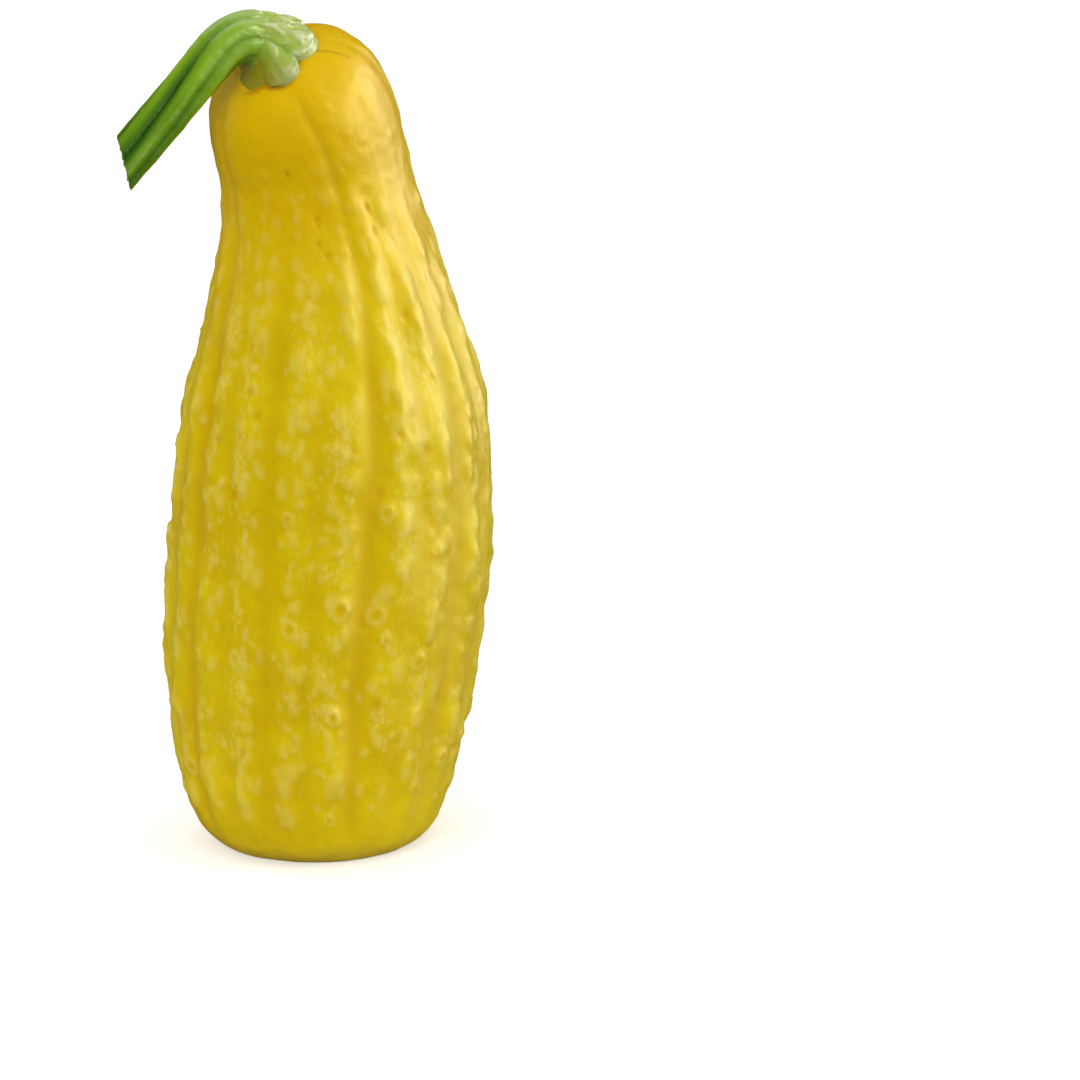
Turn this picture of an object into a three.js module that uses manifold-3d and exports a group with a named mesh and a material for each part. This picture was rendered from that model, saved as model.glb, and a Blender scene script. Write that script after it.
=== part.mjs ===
// A straightneck squash as picked, standing on its blunt blossom end. Millimetres, +Z up.
//
// The fruit is one solid. A gently curved axis carries rings whose radius follows the outline,
// grooves part its twenty ribs, and warts stand on the ribs. Five of the grooves reach the stem.
// The stem grows from the slanted top on six spreading toes, bends over and ends in a slanting cut.
// The corky scar of the flower sits in the dimple under the fruit, clear of the ground.
import * as THREE from "three";
import Module from "manifold-3d";

const wasm = await Module();
wasm.setup();

// Shift from the fruit's own frame that puts the middle of the footprint on the origin.
const FRUIT_AT = new THREE.Vector3(3.1, -0.1, 0);

// Outline of the fruit as [height along the axis, radius], from the dimple out, round and up.
const OUTLINE = [
  [5.2, 0], [4.7, 6], [2.6, 13], [0.2, 19.5], [-0.7, 25], [0.6, 31], [5.5, 36.6], [13, 40],
  [22, 42.4], [37, 45.4], [56, 48], [78, 49.7], [100, 49.5], [122, 48.6], [141, 46.4], [158, 41.6],
  [172, 38], [187, 33.8], [201, 30.4], [213, 28.9], [223, 28.9], [232, 28.2], [240, 25.6],
  [246, 19.6], [249, 10.5], [249.5, 0],
];
const AXIS_TOP = 249.5;

// The axis sways from side to side, and near the top it bends to the left and to the front.
const SWAY = 3.4;
const SWAY_PERIOD = 250;
const SWAY_FROM = 76;
const BEND_LEFT = { from: 184, length: 31 };
const BEND_FRONT = { from: 158, length: 36 };

// Grooves between the ribs: how many, the turn of the first, depth, and share left on the neck.
const GROOVES = [
  { count: 5, first: -73, depth: 1.5, neck: 0.5 },
  { count: 5, first: -37, depth: 1.2, neck: 0.12 },
  { count: 10, first: -55, depth: 0.85, neck: 0 },
];
const RIBS = 20;
const FIRST_RIB = THREE.MathUtils.degToRad(GROOVES[0].first);
const GROOVE_WIDTH = 0.085;
const RIB_CROWN = 0.5;
const WANDER = 0.035;

// Warts, largest first, drawn with a seeded rule. The solid carries the largest, somewhat broadened.
const WART_SEED = 20417;
const WARTS_IN_ALL = 1500;
const WARTS_ON_SOLID = 360;
const WART_BROADEN = 1.6;
const WART_RANGE = [16, 224];

// Mesh fineness: four steps to a rib, and rings about as far apart.
const FRUIT_SIDES = 4 * RIBS;
const FRUIT_RINGS = 72;
const STEM_STEPS = 7;
const STEM_RINGS = 36;

// Stem: the points that its middle passes, from the seat on the fruit to the cut, and its radius.
const STEM_ROUTE = [
  [-12.6, -16.6, 249.3, 8], [-14.6, -18.3, 252, 7.8], [-18.6, -20.3, 253.9, 7.6], [-23.3, -22.7, 253.7, 7.5],
  [-27.6, -25, 251.2, 7.4], [-31.4, -27, 247.2, 7.3], [-43.5, -32.4, 233, 7.1], [-56.2, -37.9, 218.3, 6.9],
];
const ROLL_DEPTH = 0.24;
const STEM_TWIST = THREE.MathUtils.degToRad(-34);
const CUT_SLANT = 1.1;
const CUT_TURN = 0.3;
const CUT_REACH = 17;

// Toes that the stem stands on: the turn of each, how far it reaches from the seat's middle, how far
// the notch after it reaches, and how deep the crease is that runs up from that notch.
const TOES = [
  { turn: 50, reach: 12.2, notch: 10.6, crease: 0.6 },
  { turn: 112, reach: 12, notch: 10.6, crease: 0.8 },
  { turn: 172, reach: 13.4, notch: 12.6, crease: 0.6 },
  { turn: 230, reach: 16.6, notch: 13.6, crease: 0.6 },
  { turn: 286, reach: 16.8, notch: 11, crease: 0.7 },
  { turn: 338, reach: 14, notch: 10.6, crease: 1.1 },
];
const TOE_RISE = 1.2;
const SEAT_CURVE = 120;
const FOOT_SINK = 7;
const FOOT_LENGTH = 8.5;
const FOOT_RINGS = 7;
const OUTER_SIDE = THREE.MathUtils.degToRad(20);

const SCAR_RADIUS = 8.5;
const SCAR_HEIGHT = 3.6;
const CLEARANCE = 0.3;

// Returns a function that gives the next number from 0 to 1 of a seeded row of draws.
function draws(seed) {
  let state = seed >>> 0;
  return () => {
    state = (Math.imul(state, 1664525) + 1013904223) >>> 0;
    return state / 4294967296;
  };
}

const mix = (a, b, t) => a + (b - a) * t;
const smooth = (low, high, x) => THREE.MathUtils.smoothstep(x, low, high);
const turnFrom = (a, b) => Math.atan2(Math.sin(a - b), Math.cos(a - b));

// Where the axis runs at a height, in the fruit's own frame.
function axisPoint(h) {
  const left = Math.max(0, h - BEND_LEFT.from) / BEND_LEFT.length;
  const front = Math.max(0, h - BEND_FRONT.from) / BEND_FRONT.length;
  const sway = SWAY * Math.sin((2 * Math.PI * (h - SWAY_FROM)) / SWAY_PERIOD);
  return new THREE.Vector3(sway - left ** 3, -(front ** 3), h);
}

// The point at a height, a radius and an angle, on a ring that is square to the axis, or level low down.
function ringPoint(h, radius, angle) {
  const at = axisPoint(h);
  const slope = axisPoint(h + 0.5).sub(axisPoint(h - 0.5));
  const along = new THREE.Vector3(0, 0, 1).lerp(slope, smooth(5, 45, h)).normalize();
  const side = new THREE.Vector3(1, 0, 0).addScaledVector(along, -along.x).normalize();
  const back = new THREE.Vector3().crossVectors(along, side);
  return at
    .addScaledVector(side, radius * Math.cos(angle))
    .addScaledVector(back, radius * Math.sin(angle));
}

// Stations spaced evenly along the outline, each with its height, radius and outward direction.
function outlineStations(count) {
  const curve = new THREE.SplineCurve(OUTLINE.map(([h, r]) => new THREE.Vector2(h, r)));
  curve.arcLengthDivisions = 2000;
  return Array.from({ length: count + 1 }, (_, i) => {
    const { x: h, y: r } = curve.getPointAt(i / count);
    const along = curve.getTangentAt(i / count);
    return { h, r, outH: -along.y, outR: along.x };
  });
}

// How far the ribs stand out and the grooves go in, at a height and an angle.
function ribRelief(h, angle) {
  const onNeck = smooth(150, 215, h);
  const cut = GROOVES.reduce((sum, groove) => {
    const phase = groove.count * (angle - THREE.MathUtils.degToRad(groove.first));
    const off = turnFrom(phase, 0) / groove.count / GROOVE_WIDTH;
    return sum + groove.depth * mix(1, groove.neck, onNeck) * Math.exp(-off * off);
  }, 0);
  return smooth(-1, 20, h) * (1 - smooth(240, AXIS_TOP, h)) * (RIB_CROWN * (1 - onNeck) - cut);
}

// Soft lumps, as slow waves along and round the fruit.
function lumpRelief(h, angle) {
  const fade = smooth(8, 40, h) * (1 - smooth(170, 225, h));
  const slow = Math.sin(h / 13 + 5 * angle) * Math.sin(7 * angle - h / 21);
  return fade * (0.5 * slow + 0.35 * Math.sin(h / 7.5 + 11 * angle));
}

// The warts: on the ribs, more of them low on the fruit, the largest first. Some are rings.
function wartList() {
  const draw = draws(WART_SEED);
  return Array.from({ length: WARTS_IN_ALL }, (_, i) => {
    const rib = Math.floor(draw() * RIBS);
    const across = (draw() + draw() - 1) * 0.42;
    const h = mix(...WART_RANGE, Math.pow(draw(), 1.15));
    const size = mix(1, 0.38, Math.pow(i / WARTS_IN_ALL, 0.6));
    const long = mix(1.1, 2.3, draw());
    const ring = draw() < 0.05 && h < 130;
    const width = (ring ? 4.2 : 3.1) * size;
    const low = 1 - smooth(120, 225, h);
    return {
      h, width, ring,
      angle: FIRST_RIB + ((rib + 0.5 + across) * 2 * Math.PI) / RIBS,
      length: width * (ring ? 1.15 : long),
      height: mix(0.75, 1.3, draw()) * mix(0.55, 1, size) * mix(0.35, 1, low),
    };
  });
}

// How far the warts stand out at one place of the skin.
function wartRelief(warts, h, radius, angle) {
  let total = 0;
  for (const wart of warts) {
    const along = (h - wart.h) / (wart.length * WART_BROADEN);
    const across = (turnFrom(angle, wart.angle) * radius) / (wart.width * WART_BROADEN);
    const far = across * across + along * along;
    if (far < 1) total += wart.height * (1 - far) ** 2 * (wart.ring ? 4.2 * far + 0.15 : 1);
  }
  return 1.6 * Math.tanh(total / 1.6);
}

// A closed skin over rings of points, with a point that closes each end. Faces point out.
function skinOver(rings, first, last) {
  const sides = rings[0].length;
  const points = [first, ...rings.flat(), last];
  const at = (ring, side) => 1 + ring * sides + (side % sides);
  const index = [];
  for (let s = 0; s < sides; s++) {
    index.push(0, at(0, s + 1), at(0, s));
    for (let r = 0; r + 1 < rings.length; r++) {
      index.push(at(r, s), at(r, s + 1), at(r + 1, s + 1));
      index.push(at(r, s), at(r + 1, s + 1), at(r + 1, s));
    }
    index.push(points.length - 1, at(rings.length - 1, s), at(rings.length - 1, s + 1));
  }
  const geometry = new THREE.BufferGeometry().setFromPoints(points);
  geometry.setIndex(index);
  return geometry;
}

// The fruit: rings on the axis with ribs, lumps and warts, and a flat where it meets the ground.
function fruitGeometry() {
  const warts = wartList().slice(0, WARTS_ON_SOLID);
  const point = (s, turn) => {
    const angle = turn + WANDER * Math.sin(s.h / 31 + 3 * turn) * smooth(10, 60, s.h);
    const relief =
      ribRelief(s.h, turn) + lumpRelief(s.h, turn) + wartRelief(warts, s.h, s.r, turn);
    const at = ringPoint(s.h + relief * s.outH, s.r + relief * s.outR, angle);
    return at.setZ(Math.max(0, at.z));
  };
  const rings = outlineStations(FRUIT_RINGS).slice(1, -1).map((s) =>
    Array.from({ length: FRUIT_SIDES }, (_, i) => point(s, FIRST_RIB + (2 * Math.PI * i) / FRUIT_SIDES)),
  );
  return skinOver(rings, ringPoint(OUTLINE[0][0], 0, 0), ringPoint(AXIS_TOP, 0, 0));
}

// The way round the stem, from the groove before each toe's roll: turn, reach of the foot, and how
// much of the full radius the roll keeps.
function rollSteps(steps) {
  return TOES.flatMap((toe, i) => {
    const last = TOES[(i + TOES.length - 1) % TOES.length];
    const before = i ? last.turn : last.turn - 360;
    const after = i + 1 < TOES.length ? TOES[i + 1].turn : TOES[0].turn + 360;
    return Array.from({ length: steps }, (_, k) => {
      const share = k / steps;
      const round = Math.sin(Math.PI * share) ** 0.6;
      return {
        turn: THREE.MathUtils.degToRad(mix(toe.turn + before, toe.turn + after, share) / 2),
        far: mix(mix(last.notch, toe.notch, share), toe.reach, round),
        full: 1 - ROLL_DEPTH * mix(last.crease, toe.crease, share) * (1 - round),
      };
    });
  });
}

// Points along the stem's middle with two directions square to it that turn as little as they can.
function stemFrames(count) {
  const route = new THREE.CatmullRomCurve3(
    STEM_ROUTE.map(([x, y, z]) => new THREE.Vector3(x, y, z)), false, "catmullrom", 0.5);
  const side = new THREE.Vector3(1, 0, 0);
  const last = STEM_ROUTE.length - 1;
  const total = route.getLength();
  return Array.from({ length: count + 1 }, (_, i) => {
    const t = route.getUtoTmapping(i / count);
    const mm = (total * i) / count;
    const along = route.getTangent(t);
    side.addScaledVector(along, -along.dot(side)).normalize();
    const step = Math.min(last - 1, Math.floor(t * last));
    const radius = mix(STEM_ROUTE[step][3], STEM_ROUTE[step + 1][3], smooth(0, 1, t * last - step));
    return {
      at: route.getPoint(t), along, side: side.clone(), radius,
      back: new THREE.Vector3().crossVectors(along, side),
      mm,
      twist: STEM_TWIST * smooth(0.15, 1, i / count),
      slant: CUT_SLANT * smooth(total - CUT_REACH, total, mm),
    };
  });
}

// A point at a share of the way along a curve that leaves one place and reaches another.
function bridge(from, leaving, to, reaching, t) {
  const left = 1 - t;
  return from.clone().multiplyScalar(left * left * (1 + 2 * t))
    .addScaledVector(leaving, t * left * left)
    .addScaledVector(to, t * t * (3 - 2 * t))
    .addScaledVector(reaching, -t * t * left);
}

// The stem before its foot is cut to the fruit: six rolls that part at the foot and bend down as toes.
function stemGeometry() {
  const frames = stemFrames(STEM_RINGS);
  const steps = rollSteps(STEM_STEPS);
  const seat = frames[0];
  const around = (f, radius, turn) => f.at.clone()
    .addScaledVector(f.side, radius * Math.cos(turn))
    .addScaledVector(f.back, radius * Math.sin(turn));
  const swept = frames.filter((f) => f.mm >= FOOT_LENGTH).map((f) =>
    steps.map(({ turn, full }) => {
      const at = around(f, f.radius * full, turn + f.twist);
      return at.addScaledVector(f.along, f.slant * (f.at.z - at.z + CUT_TURN * (f.at.y - at.y)));
    }));
  const tips = steps.map(({ turn, far }) =>
    around(seat, far, turn).addScaledVector(seat.along, TOE_RISE - (far * far) / SEAT_CURVE));
  const up = seat.along.clone().multiplyScalar(FOOT_LENGTH * 0.6);
  const on = frames.find((f) => f.mm >= FOOT_LENGTH).along;
  const foot = Array.from({ length: FOOT_RINGS }, (_, k) =>
    tips.map((tip, i) => {
      const outside = (1 + Math.cos(steps[i].turn - OUTER_SIDE)) / 2;
      const reaching = on.clone().multiplyScalar(FOOT_LENGTH * mix(0.1, 1, outside));
      return bridge(tip, up, swept[0][i], reaching, k / FOOT_RINGS);
    }));
  const buried = tips.map((tip) => tip.clone().addScaledVector(seat.along, -FOOT_SINK));
  const bottom = seat.at.clone().addScaledVector(seat.along, -FOOT_SINK);
  return skinOver([buried, ...foot, ...swept], bottom, frames[frames.length - 1].at);
}

// The corky scar: a rough disc with a knobbly edge, before it is cut to the dimple.
function scarGeometry() {
  const draw = draws(WART_SEED + 1);
  const sides = 20;
  const middle = axisPoint(OUTLINE[0][0]);
  const ring = (radius, z, rough) =>
    Array.from({ length: sides }, (_, i) => {
      const angle = (2 * Math.PI * i) / sides;
      const r = radius * (1 + rough * (draw() - 0.5));
      return new THREE.Vector3(
        middle.x + r * Math.cos(angle), middle.y + r * Math.sin(angle), z + rough * 2 * draw());
    });
  const low = OUTLINE[0][0] - SCAR_HEIGHT;
  const rings = [
    ring(SCAR_RADIUS * 0.35, low, 0.2), ring(SCAR_RADIUS * 0.75, low + 0.2, 0.25),
    ring(SCAR_RADIUS, low + 1.2, 0.18), ring(SCAR_RADIUS, low + 6, 0.1),
  ];
  const centre = (z) => new THREE.Vector3(middle.x, middle.y, z);
  return skinOver(rings, centre(low + 0.4), centre(low + 6));
}

// The same skin moved out by a distance, for cutting what rests on it with a small gap.
function grown(geometry, distance) {
  const copy = geometry.clone();
  copy.computeVertexNormals();
  const { position, normal } = copy.attributes;
  for (let i = 0; i < position.count; i++) {
    position.setXYZ(i,
      position.getX(i) + distance * normal.getX(i),
      position.getY(i) + distance * normal.getY(i),
      position.getZ(i) + distance * normal.getZ(i));
  }
  return copy;
}

function toSolid(geometry) {
  return new wasm.Manifold(new wasm.Mesh({
    numProp: 3,
    vertProperties: new Float32Array(geometry.attributes.position.array),
    triVerts: new Uint32Array(geometry.index.array),
  }));
}

function toGeometry(solid) {
  const { vertProperties, triVerts } = solid.getMesh();
  const geometry = new THREE.BufferGeometry();
  geometry.setAttribute("position", new THREE.BufferAttribute(vertProperties, 3));
  geometry.setIndex(new THREE.BufferAttribute(triVerts, 1));
  return geometry;
}

// The largest body of what is left of a piece where the fruit doesn't reach.
function clearOf(geometry, obstacle) {
  const left = toSolid(geometry).subtract(obstacle).decompose();
  return toGeometry(left.reduce((a, b) => (b.volume() > a.volume() ? b : a)));
}

function piece(name, geometry, color, roughness) {
  geometry.computeVertexNormals();
  const mesh = new THREE.Mesh(geometry, new THREE.MeshStandardMaterial({ color, roughness, metalness: 0 }));
  mesh.name = name;
  mesh.position.copy(FRUIT_AT);
  return mesh;
}

const fruit = fruitGeometry();
const obstacle = toSolid(grown(fruit, CLEARANCE));
const squash = new THREE.Group();
squash.add(
  piece("fruit", fruit, 0xd9b310, 0.45),
  piece("stem", clearOf(stemGeometry(), obstacle), 0x7aa428, 0.55),
  piece("blossom_scar", clearOf(scarGeometry(), obstacle), 0x4a3526, 0.95),
);

export default squash;
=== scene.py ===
"""A ripe straightneck squash: a warty yellow fruit, a bent green stem and the corky scar of its flower.

Lengths are in millimetres in the fruit's own frame, and become metres as each mesh is finished.
"""

import logging
import math
from dataclasses import dataclass, field
from enum import Enum, IntEnum

import bpy
import numpy as np
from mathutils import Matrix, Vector


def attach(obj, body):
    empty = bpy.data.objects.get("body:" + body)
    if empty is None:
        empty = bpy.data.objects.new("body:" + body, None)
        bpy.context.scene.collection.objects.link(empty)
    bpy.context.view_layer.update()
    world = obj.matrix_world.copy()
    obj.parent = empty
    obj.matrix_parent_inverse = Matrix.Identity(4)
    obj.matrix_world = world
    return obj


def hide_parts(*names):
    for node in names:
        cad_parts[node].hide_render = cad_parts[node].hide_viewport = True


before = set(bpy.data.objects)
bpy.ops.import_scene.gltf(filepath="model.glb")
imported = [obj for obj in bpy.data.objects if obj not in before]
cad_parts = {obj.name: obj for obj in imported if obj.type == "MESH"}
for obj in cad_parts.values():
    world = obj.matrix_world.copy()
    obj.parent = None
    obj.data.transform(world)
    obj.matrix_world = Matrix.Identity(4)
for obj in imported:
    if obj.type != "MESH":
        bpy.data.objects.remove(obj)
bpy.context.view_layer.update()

MM = 0.001
FRUIT_AT = np.array((3.1, -0.1, 0.0))
FULL_TURN = 2 * math.pi
FLOW_SCALE = 0.1
AIM_HEIGHT = 0.13
LOG = logging.getLogger("squash")

Array = np.ndarray
Colour = tuple[float, float, float]
Place = tuple[float, float, float]
Span = tuple[float, float]
Object = bpy.types.Object
Material = bpy.types.Material
Tree = bpy.types.NodeTree
Node = bpy.types.Node
Socket = bpy.types.NodeSocket
Sockets = bpy.types.bpy_prop_collection


def smooth(low: float, high: float, value: Array) -> Array:
    """Rises softly from 0 to 1 between two limits.

    Args:
        low: where the rise starts.
        high: where the rise ends.
        value: the places to look at.

    Returns:
        The share risen at each place.
    """
    t = np.clip((np.asarray(value, dtype=float) - low) / (high - low), 0.0, 1.0)
    return t * t * (3 - 2 * t)


def window(start: Span, end: Span, value: Array) -> Array:
    """Rises softly over the start and falls again over the end."""
    return smooth(*start, value) * (1 - smooth(*end, value))


def mix(a: Array, b: Array, t: Array) -> Array:
    """Goes from a to b as t goes from 0 to 1."""
    return a + (b - a) * t


def turn_from(a: Array, b: Array) -> Array:
    """The turn from b to a, the short way round."""
    return np.arctan2(np.sin(a - b), np.cos(a - b))


def bells(angle: Array, count: int, first: float, width: float) -> Array:
    """A row of soft bumps round the fruit, each from 0 to 1.

    Args:
        angle: turns round the fruit.
        count: how many bumps.
        first: the turn of the first, in degrees.
        width: the half width of each, in radians.

    Returns:
        How high a bump is at each turn.
    """
    off = turn_from(count * (angle - math.radians(first)), 0.0) / count / width
    return np.exp(-off * off)


def unit(rows: Array) -> Array:
    """Each row of an array scaled to length one."""
    return rows / np.maximum(np.linalg.norm(rows, axis=-1, keepdims=True), 1e-9)


def srgb(red: int, green: int, blue: int) -> Colour:
    """A colour read by eye as 0 to 255 a channel, as linear light.

    Args:
        red: the red channel.
        green: the green channel.
        blue: the blue channel.

    Returns:
        The three linear channels.
    """
    def channel(v: float) -> float:
        """One channel as linear light."""
        return v / 12.92 if v <= 0.04045 else ((v + 0.055) / 1.055) ** 2.4

    return channel(red / 255), channel(green / 255), channel(blue / 255)


class Draws:
    """A seeded row of numbers from 0 to 1."""

    def __init__(self, seed: int) -> None:
        """Starts the row at a seed."""
        self.state = seed

    def next(self) -> float:
        """The next number of the row."""
        self.state = (self.state * 1664525 + 1013904223) % 2**32
        return self.state / 2**32

    def between(self, low: float, high: float) -> float:
        """The next number, spread between two limits."""
        return low + (high - low) * self.next()


@dataclass(frozen=True)
class Waves:
    """A soft uneven field of crossing waves: its height, seed, how many waves, and their lengths in mm."""

    height: float
    seed: int
    count: int
    lengths: Span

    def at(self, points: Array) -> Array:
        """The field over points in space.

        Args:
            points: the places, in millimetres.

        Returns:
            The field at each place, mostly within its height of 0.
        """
        draw = Draws(self.seed)
        total = np.zeros(len(points))
        for _ in range(self.count):
            around, up = draw.between(0, FULL_TURN), draw.between(-1, 1)
            flat = math.sqrt(1 - up * up)
            way = np.array((flat * math.cos(around), flat * math.sin(around), up))
            pitch = FULL_TURN / draw.between(*self.lengths)
            total += np.sin(points @ way * pitch + draw.between(0, FULL_TURN))
        return self.height * (total / math.sqrt(self.count))


def curve(knots: Array, samples: int) -> tuple[Array, Array, Array, Array]:
    """A smooth curve through knots, finely stepped.

    Args:
        knots: the knots, with one more before the first and one more after the last.
        samples: how many places.

    Returns:
        The places, the length up to each, the knot before each and the share of the way past it.
    """
    last = len(knots) - 3
    place = np.linspace(0, last, samples)
    step = np.minimum(place.astype(int), last - 1)
    t = (place - step)[:, None]
    p0, p1, p2, p3 = (knots[step + k] for k in range(4))
    v0, v1 = (p2 - p0) / 2, (p3 - p1) / 2
    line = p1 + v0 * t + (3 * p2 - 3 * p1 - 2 * v0 - v1) * t**2 + (2 * p1 - 2 * p2 + v0 + v1) * t**3
    run = np.concatenate([[0.0], np.cumsum(np.linalg.norm(np.diff(line, axis=0), axis=1))])
    return line, run, step, t[:, 0]


def shaped_sphere(name: str, segments: int, rings: int) -> tuple[Object, Array, Array]:
    """Adds a closed ball whose rings and poles are then shaped into a piece.

    Args:
        name: the piece's name.
        segments: points in a ring.
        rings: rings from pole to pole.

    Returns:
        The new object and, for each corner, the share of the way from the lower pole to the upper one
        and the turn.
    """
    bpy.ops.object.select_all(action="DESELECT")
    bpy.ops.mesh.primitive_uv_sphere_add(segments=segments, ring_count=rings, radius=1.0)
    ball = bpy.context.object
    ball.name = name
    ball.data.name = name
    corners = read_rows(ball, "co")
    share = 1 - np.arccos(np.clip(corners[:, 2], -1, 1)) / math.pi
    return ball, share, np.arctan2(corners[:, 1], corners[:, 0])


def read_rows(piece: Object, what: str) -> Array:
    """Reads what a mesh knows of each corner.

    Args:
        piece: the object.
        what: "co" for the places, or "normal" for the outward directions.

    Returns:
        Three numbers a corner.
    """
    rows = np.empty(len(piece.data.vertices) * 3)
    piece.data.vertices.foreach_get(what, rows)
    return rows.reshape(-1, 3)


def put_points(piece: Object, points: Array) -> None:
    """Moves the corners of a piece to places in the fruit's frame, turned to metres in the part's frame.

    Args:
        piece: the object whose mesh is moved.
        points: one place a corner, in millimetres.
    """
    place = (points + FRUIT_AT) * MM
    place[:, 2] = np.maximum(place[:, 2], 0.0)
    piece.data.vertices.foreach_set("co", place.ravel())
    piece.data.update()


def store(piece: Object, kept: dict[str, Array]) -> None:
    """Keeps numbers or vectors at the corners of a mesh, for its material to read.

    Args:
        piece: the object.
        kept: a name for each, and one number or three numbers a corner.
    """
    for name, values in kept.items():
        kind = "FLOAT" if values.ndim == 1 else "FLOAT_VECTOR"
        layer = piece.data.attributes.new(name, kind, "POINT")
        layer.data.foreach_set("value" if kind == "FLOAT" else "vector", values.astype(np.float32).ravel())


def finish_mesh(piece: Object, node: str, material: Material) -> Object:
    """Smooths, dresses and places a piece in the frame.

    Args:
        piece: the object.
        node: the solid it stands for, which is also its material slot in the record.
        material: its finish.

    Returns:
        The object.
    """
    bpy.ops.object.select_all(action="DESELECT")
    piece.select_set(True)
    bpy.context.view_layer.objects.active = piece
    bpy.ops.object.shade_smooth()
    piece.data.materials.clear()
    piece.data.materials.append(material)
    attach(piece, "root")
    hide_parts(node)
    return piece


class Graph:
    """Adds nodes to one tree and links them."""

    def __init__(self, tree: Tree) -> None:
        """Keeps the tree that the nodes go into."""
        self.tree = tree

    def put(self, socket: Socket, value: object) -> None:
        """Links a socket to another one, or sets its plain value.

        Args:
            socket: the input that takes it.
            value: a socket, a number or a row of numbers.
        """
        if isinstance(value, Socket):
            self.tree.links.new(value, socket)
        elif isinstance(value, tuple) and socket.type == "RGBA" and len(value) == 3:
            socket.default_value = (*value, 1.0)
        else:
            socket.default_value = value

    def feed(self, node: Node, **values: object) -> None:
        """Links or sets inputs by name, with spaces as underscores."""
        for name, value in values.items():
            self.put(node.inputs[name.replace("_", " ")], value)

    def add(self, kind: str, settings: dict | None = None, **values: object) -> Node:
        """Adds a node, sets its options and fills or links its inputs by name.

        Args:
            kind: the node's type, without its first words.
            settings: options such as an operation.
            values: a value or a socket for each input, with spaces as underscores.

        Returns:
            The new node.
        """
        node = self.tree.nodes.new("ShaderNode" + kind)
        for name, value in (settings or {}).items():
            setattr(node, name, value)
        self.feed(node, **values)
        return node

    def row(self, kind: str, *values: object, **settings: object) -> Socket:
        """Adds a node and fills or links its inputs in their order.

        Args:
            kind: the node's type, without its first words.
            values: a value or a socket for each input.
            settings: options such as an operation.

        Returns:
            The node's first output.
        """
        node = self.add(kind, settings)
        for socket, value in zip(node.inputs, values):
            self.put(socket, value)
        return node.outputs[0]

    def plus(self, a: object, b: object, clamp: bool = False) -> Socket:
        """The sum of two numbers."""
        return self.row("Math", a, b, operation="ADD", use_clamp=clamp)

    def minus(self, a: object, b: object, clamp: bool = False) -> Socket:
        """The first number less the second."""
        return self.row("Math", a, b, operation="SUBTRACT", use_clamp=clamp)

    def times(self, a: object, b: object, clamp: bool = False) -> Socket:
        """The product of two numbers."""
        return self.row("Math", a, b, operation="MULTIPLY", use_clamp=clamp)

    def over(self, a: object, b: object) -> Socket:
        """The first number divided by the second."""
        return self.row("Math", a, b, operation="DIVIDE")

    def blend(self, share: object, a: object, b: object) -> Socket:
        """Mixes two colours.

        Args:
            share: how much of the second, as a number or socket.
            a: the first colour.
            b: the second colour.

        Returns:
            The mixed colour's socket.
        """
        node = self.add("Mix", {"data_type": "RGBA"})
        sockets = {socket.identifier: socket for socket in node.inputs}
        for key, value in (("Factor_Float", share), ("A_Color", a), ("B_Color", b)):
            self.put(sockets[key], value)
        return next(socket for socket in node.outputs if socket.identifier == "Result_Color")

    def layers(self, colour: object, coats: tuple[tuple[object, object], ...]) -> Socket:
        """Lays colours over one another.

        Args:
            colour: the lowest colour.
            coats: for each colour over it, its share and the colour.

        Returns:
            The last colour's socket.
        """
        for share, coat in coats:
            colour = self.blend(share, colour, coat)
        return colour

    def spread(self, share: object, low: float, high: float) -> Socket:
        """Spreads a number from 0 to 1 between two limits."""
        return self.add("MapRange", Value=share, To_Min=low, To_Max=high).outputs[0]

    def bump(self, strength: float, distance: float, height: Socket) -> Socket:
        """Turns a height into normals, with its reach in metres."""
        return self.add("Bump", Strength=strength, Distance=distance, Height=height).outputs[0]

    def object_places(self) -> Socket:
        """The place of each point of the piece."""
        return self.add("TexCoord").outputs["Object"]

    def kept(self, name: str, output: str = "Fac") -> Socket:
        """Reads what a mesh keeps at its corners under a name."""
        return self.add("Attribute", {"attribute_name": name}).outputs[output]


def new_group(name: str, inputs: dict[str, tuple[str, object]], outputs: dict[str, str]) -> tuple[
        Tree, Graph, dict[str, Socket], Node]:
    """Starts a shared effect with named inputs and outputs.

    Args:
        name: the effect's name.
        inputs: the kind and usual value of each input, by name.
        outputs: the kind of each output, by name.

    Returns:
        The group, its graph, its inputs by name and its output node.
    """
    tree = bpy.data.node_groups.new(name, "ShaderNodeTree")
    for label, (kind, usual) in inputs.items():
        socket = tree.interface.new_socket(name=label, in_out="INPUT", socket_type="NodeSocket" + kind)
        if usual is not None:
            socket.default_value = usual
    for label, kind in outputs.items():
        tree.interface.new_socket(name=label, in_out="OUTPUT", socket_type="NodeSocket" + kind)
    entry, leave = tree.nodes.new("NodeGroupInput"), tree.nodes.new("NodeGroupOutput")
    return tree, Graph(tree), {label: entry.outputs[label] for label in inputs}, leave


MASK_AND_HEIGHT = {"Mask": "Float", "Height": "Float"}


class Effect(Enum):
    """The effects that more than one finish uses."""

    PATCHES = "soft_patches"
    PORES = "fine_pores"
    FIBRES = "long_fibres"
    SPECKS = "clustered_specks"


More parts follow.
